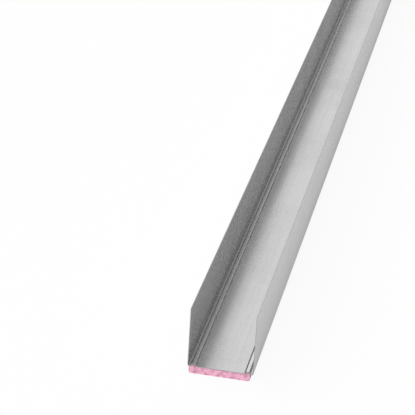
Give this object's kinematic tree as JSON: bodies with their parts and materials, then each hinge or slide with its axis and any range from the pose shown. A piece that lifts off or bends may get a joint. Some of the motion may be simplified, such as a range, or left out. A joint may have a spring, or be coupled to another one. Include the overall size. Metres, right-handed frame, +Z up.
{
  "type": "drywall u-track",
  "caption": "Galvanized steel U-track for drywall partitions, with two stiffening beads in its web and a pink foam sealing strip glued underneath.",
  "frame": {"origin": "middle of the foam strip's underside plane, on the web's centre line, halfway along the track, where the track stands on the floor", "axes": "+X along the track's length, +Y across the web, +Z up out of the open side of the U"},
  "size_m": [3, 0.052, 0.056],
  "materials": {
    "galvanized_steel": "semi-gloss zinc coating, as rolled",
    "pink_foam": "matte closed-cell foam"
  },
  "bodies": {
    "root": {"track_channel": "galvanized_steel", "sealing_strip": "pink_foam"}
  },
  "joints": []
}
